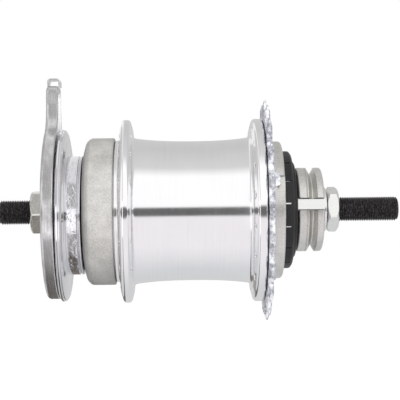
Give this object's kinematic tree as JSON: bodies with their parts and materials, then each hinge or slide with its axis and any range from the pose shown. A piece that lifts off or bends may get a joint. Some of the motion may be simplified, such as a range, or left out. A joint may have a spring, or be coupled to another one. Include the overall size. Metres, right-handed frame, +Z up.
{
  "type": "bicycle hub gear",
  "caption": "Internally geared rear bicycle hub with spoke flanges, sprocket, brake arm and drum, rotary gear selector and threaded axle.",
  "frame": {"origin": "on the axle's axis, midway between the outer faces of the two locknuts", "axes": "+X along the axle towards the sprocket, +Z up along the brake arm"},
  "size_m": [0.1691, 0.0928, 0.1034],
  "materials": {
    "black_oxide": "black oxide on a fine rolled thread",
    "nut_zinc": "dull grey zinc",
    "pressed_chrome": "bright plating over pressed steel, rough on its cut edges",
    "clip_zinc": "bright zinc",
    "polished_alloy": "polished",
    "matt_alloy": "matt, fine grain",
    "satin_alloy": "satin casting",
    "sprocket_zinc": "bright bluish zinc",
    "black_plastic": "moulded, matt",
    "hardened_steel": "ground, oiled",
    "spring_steel": "drawn wire",
    "friction_bronze": "sintered bronze"
  },
  "bodies": {
    "axle_unit": {"axle": "black_oxide", "sun_pinion": "hardened_steel", "left_locknut": "nut_zinc", "left_washer": "nut_zinc", "brake_arm": "pressed_chrome", "arm_end_clip": "clip_zinc", "brake_cover": "pressed_chrome", "brake_boss": "pressed_chrome", "left_cone": "hardened_steel", "right_cone": "hardened_steel", "right_washer": "nut_zinc", "right_locknut": "nut_zinc", "clutch_spring": "spring_steel"},
    "shell": {"hub_shell": "polished_alloy", "drum_cover": "matt_alloy", "left_ball_cup": "hardened_steel", "brake_liner": "hardened_steel", "low_gear_ratchet": "hardened_steel", "right_ball_ring": "hardened_steel"},
    "driver": {"driver": "hardened_steel", "sprocket": "sprocket_zinc", "sprocket_dust_disc": "satin_alloy", "snap_ring": "spring_steel", "dust_cap": "black_plastic"},
    "planet_carrier": {"planet_cage": "hardened_steel", "planet_pin_1": "hardened_steel", "planet_pin_2": "hardened_steel", "planet_pin_3": "hardened_steel", "planet_pin_4": "hardened_steel"},
    "gear_ring": {"gear_ring": "hardened_steel"},
    "planet_1": {"planet_pinion_1": "hardened_steel"},
    "planet_2": {"planet_pinion_2": "hardened_steel"},
    "planet_3": {"planet_pinion_3": "hardened_steel"},
    "planet_4": {"planet_pinion_4": "hardened_steel"},
    "gear_ring_pawl_1": {"gear_ring_pawl_1": "hardened_steel"},
    "low_gear_pawl_1": {"low_gear_pawl_1": "hardened_steel"},
    "gear_ring_pawl_2": {"gear_ring_pawl_2": "hardened_steel"},
    "low_gear_pawl_2": {"low_gear_pawl_2": "hardened_steel"},
    "clutch": {"clutch": "hardened_steel"},
    "selector": {"selector_pulley": "satin_alloy"},
    "shift_key": {"shift_key": "hardened_steel"},
    "brake_cone": {"brake_cone": "hardened_steel", "friction_spring": "spring_steel"},
    "brake_shoe_1": {"brake_shoe_1": "friction_bronze"},
    "brake_shoe_2": {"brake_shoe_2": "friction_bronze"},
    "brake_shoe_3": {"brake_shoe_3": "friction_bronze"},
    "left_balls": {"left_balls": "hardened_steel"},
    "main_balls": {"main_balls": "hardened_steel"},
    "driver_balls": {"driver_balls": "hardened_steel"}
  },
  "joints": [
    {"name": "shell_spin", "type": "hinge", "parent": "axle_unit", "child": "shell", "pos_m": [0, 0, 0], "axis": [1, 0, 0], "continuous": true},
    {"name": "gear_ring_spin", "type": "hinge", "parent": "axle_unit", "child": "gear_ring", "pos_m": [0, 0, 0], "axis": [1, 0, 0], "continuous": true},
    {"name": "carrier_spin", "type": "hinge", "parent": "axle_unit", "child": "planet_carrier", "pos_m": [0, 0, 0], "axis": [1, 0, 0], "continuous": true},
    {"name": "driver_spin", "type": "hinge", "parent": "axle_unit", "child": "driver", "pos_m": [0, 0, 0], "axis": [1, 0, 0], "continuous": true},
    {"name": "planet_1_spin", "type": "hinge", "parent": "planet_carrier", "child": "planet_1", "pos_m": [0, 0.014, 0], "axis": [1, 0, 0], "continuous": true},
    {"name": "planet_2_spin", "type": "hinge", "parent": "planet_carrier", "child": "planet_2", "pos_m": [0, 0, 0.014], "axis": [1, 0, 0], "continuous": true},
    {"name": "planet_3_spin", "type": "hinge", "parent": "planet_carrier", "child": "planet_3", "pos_m": [0, -0.014, 0], "axis": [1, 0, 0], "continuous": true},
    {"name": "planet_4_spin", "type": "hinge", "parent": "planet_carrier", "child": "planet_4", "pos_m": [0, 0, -0.014], "axis": [1, 0, 0], "continuous": true},
    {"name": "left_balls_spin", "type": "hinge", "parent": "axle_unit", "child": "left_balls", "pos_m": [0, 0, 0], "axis": [1, 0, 0], "continuous": true},
    {"name": "main_balls_spin", "type": "hinge", "parent": "axle_unit", "child": "main_balls", "pos_m": [0, 0, 0], "axis": [1, 0, 0], "continuous": true},
    {"name": "driver_balls_spin", "type": "hinge", "parent": "axle_unit", "child": "driver_balls", "pos_m": [0, 0, 0], "axis": [1, 0, 0], "continuous": true},
    {"name": "gear_ring_pawl_1_swing", "type": "hinge", "parent": "gear_ring", "child": "gear_ring_pawl_1", "pos_m": [0, -0.00325, 0.02054], "axis": [1, 0, 0], "range_deg": [-13, 0], "stiffness_Nm_per_rad": 0.005, "springref_deg": 11.46},
    {"name": "low_gear_pawl_1_swing", "type": "hinge", "parent": "planet_carrier", "child": "low_gear_pawl_1", "pos_m": [0, -0.00325, 0.02054], "axis": [1, 0, 0], "range_deg": [0, 13], "stiffness_Nm_per_rad": 0.005, "springref_deg": -5.73},
    {"name": "gear_ring_pawl_2_swing", "type": "hinge", "parent": "gear_ring", "child": "gear_ring_pawl_2", "pos_m": [0, 0.00325, -0.02054], "axis": [1, 0, 0], "range_deg": [-13, 0], "stiffness_Nm_per_rad": 0.005, "springref_deg": 11.46},
    {"name": "low_gear_pawl_2_swing", "type": "hinge", "parent": "planet_carrier", "child": "low_gear_pawl_2", "pos_m": [0, 0.00325, -0.02054], "axis": [1, 0, 0], "range_deg": [0, 13], "stiffness_Nm_per_rad": 0.005, "springref_deg": -5.73},
    {"name": "selector_turn", "type": "hinge", "parent": "axle_unit", "child": "selector", "pos_m": [0, 0, 0], "axis": [1, 0, 0], "range_deg": [0, 80], "stiffness_Nm_per_rad": 0.2, "springref_deg": -28.65},
    {"name": "shift_key_slide", "type": "slide", "parent": "axle_unit", "child": "shift_key", "axis": [1, 0, 0], "range_m": [0, 0.005]},
    {"name": "clutch_slide", "type": "slide", "parent": "driver", "child": "clutch", "axis": [1, 0, 0], "range_m": [0, 0.005], "deforming": ["clutch_spring"]},
    {"name": "brake_cone_slide", "type": "slide", "parent": "axle_unit", "child": "brake_cone", "axis": [-1, 0, 0], "range_m": [0, 0.00344]},
    {"name": "brake_shoe_1_slide", "type": "slide", "parent": "axle_unit", "child": "brake_shoe_1", "axis": [-0.9063, 0, 0.4226], "range_m": [0, 0.0019]},
    {"name": "brake_shoe_2_slide", "type": "slide", "parent": "axle_unit", "child": "brake_shoe_2", "axis": [-0.9063, -0.366, -0.2113], "range_m": [0, 0.0019]},
    {"name": "brake_shoe_3_slide", "type": "slide", "parent": "axle_unit", "child": "brake_shoe_3", "axis": [-0.9063, 0.366, -0.2113], "range_m": [0, 0.0019]}
  ],
  "couplings": [
    {"joint": "gear_ring_spin", "follows": "shell_spin", "ratio": 1},
    {"joint": "carrier_spin", "follows": "shell_spin", "ratio": 0.75},
    {"joint": "driver_spin", "follows": "shell_spin", "ratio": 0.75},
    {"joint": "planet_1_spin", "follows": "shell_spin", "ratio": 0.75},
    {"joint": "planet_2_spin", "follows": "shell_spin", "ratio": 0.75},
    {"joint": "planet_3_spin", "follows": "shell_spin", "ratio": 0.75},
    {"joint": "planet_4_spin", "follows": "shell_spin", "ratio": 0.75},
    {"joint": "left_balls_spin", "follows": "shell_spin", "ratio": 0.54861},
    {"joint": "main_balls_spin", "follows": "shell_spin", "ratio": 0.88473},
    {"joint": "driver_balls_spin", "follows": "shell_spin", "ratio": 0.42253},
    {"joint": "shift_key_slide", "follows": "selector_turn", "m_per_rad": 0.00358},
    {"joint": "clutch_slide", "follows": "selector_turn", "m_per_rad": 0.00358},
    {"joint": "brake_shoe_1_slide", "follows": "brake_cone_slide", "ratio": 0.5517},
    {"joint": "brake_shoe_2_slide", "follows": "brake_cone_slide", "ratio": 0.5517},
    {"joint": "brake_shoe_3_slide", "follows": "brake_cone_slide", "ratio": 0.5517}
  ]
}
